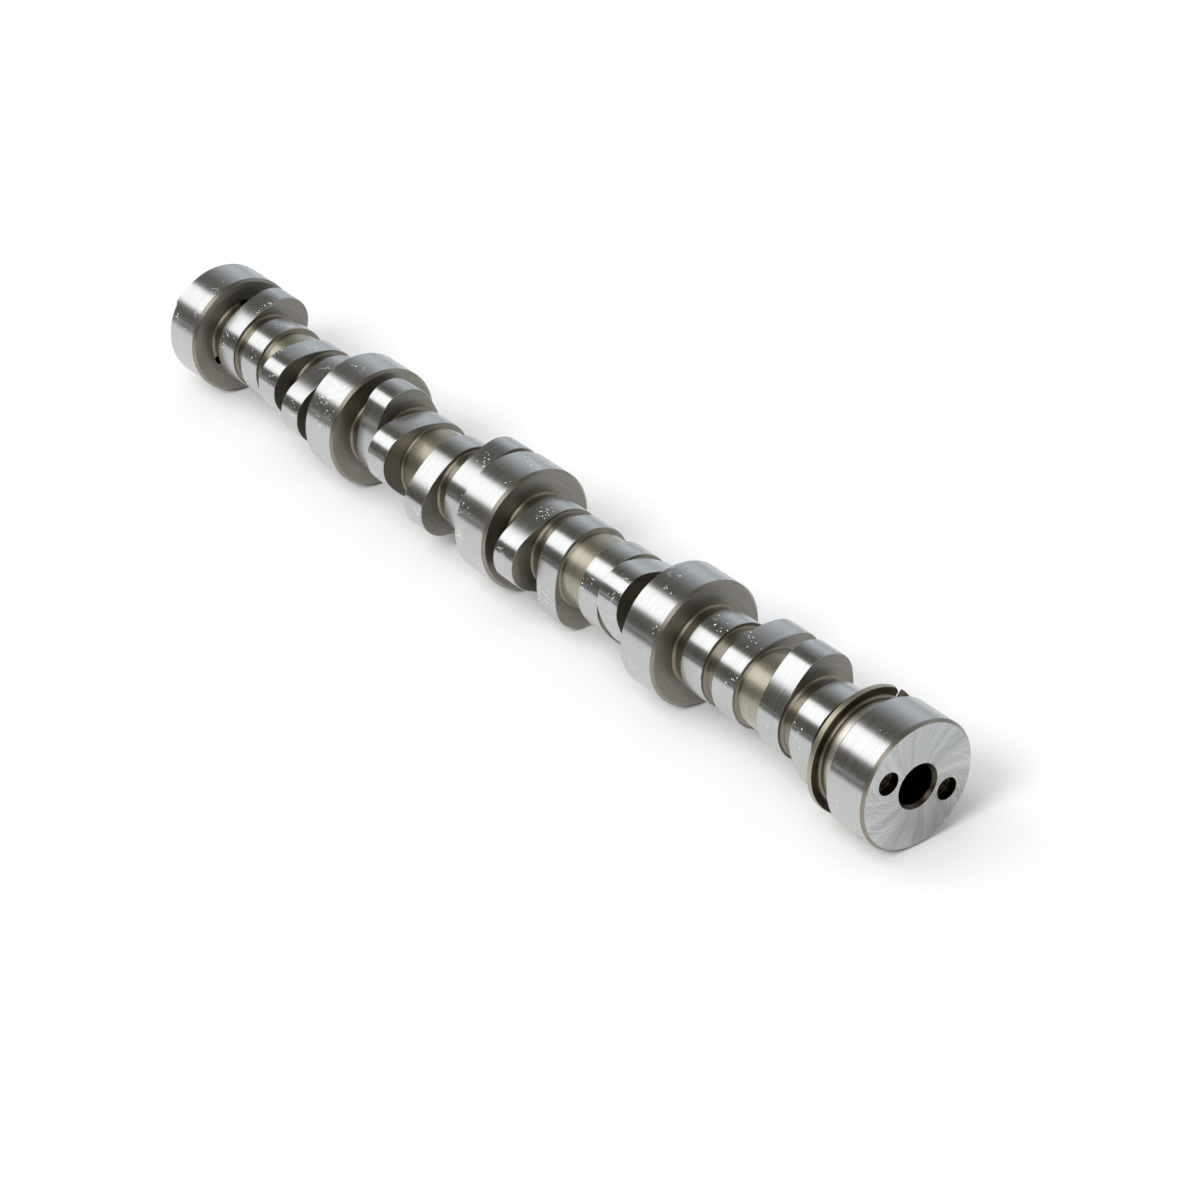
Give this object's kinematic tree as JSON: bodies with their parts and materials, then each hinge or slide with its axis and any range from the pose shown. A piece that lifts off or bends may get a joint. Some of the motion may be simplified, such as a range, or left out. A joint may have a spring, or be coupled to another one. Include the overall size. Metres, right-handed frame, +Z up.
{
  "type": "camshaft",
  "caption": "One-piece ground steel camshaft for a pushrod V8 engine, with roller lobes between round bearing journals, a slotted sensor ring, tapped ends and a sprocket dowel pin.",
  "frame": {"origin": "on the shaft's axis, at the centre of the front end face where the chain sprocket bolts on", "axes": "+X along the shaft from its front (sprocket) end to its rear end, +Z up with the shaft lying level, +Y to the right for someone looking at the rear end face"},
  "size_m": [0.4926, 0.055, 0.055],
  "materials": {
    "ground_steel": "finely ground bearing surfaces and lobes, satin turned necks",
    "dowel_steel": "centreless-ground hardened steel"
  },
  "bodies": {
    "root": {"camshaft": "ground_steel", "sprocket_dowel_pin": "dowel_steel"}
  },
  "joints": []
}
